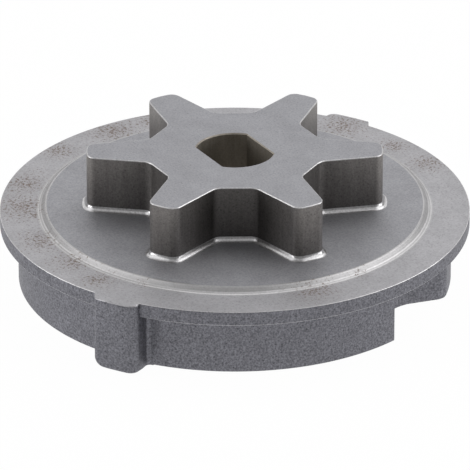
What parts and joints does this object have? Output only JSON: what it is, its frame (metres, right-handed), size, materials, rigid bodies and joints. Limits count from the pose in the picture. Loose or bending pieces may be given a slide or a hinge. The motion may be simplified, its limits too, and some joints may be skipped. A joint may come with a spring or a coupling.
{
  "type": "chain drive sprocket",
  "caption": "Flanged chain drive sprocket with a spur star on top, a double-flat bore, and lugs and ramped recesses on its skirt.",
  "frame": {"origin": "on the bore's axis, at the flat bottom face, which the part rests on", "axes": "+Z along the bore's axis, from the bottom face to the star; +X along one tooth and parallel to the bore's flats; +Y completes the right-handed frame"},
  "size_m": [0.048, 0.048, 0.0141],
  "materials": {
    "sintered_steel": "satin grey, granular on the skirt, with fine turning marks and light rust specks on the rim"
  },
  "bodies": {
    "root": {"sprocket": "sintered_steel"}
  },
  "joints": []
}
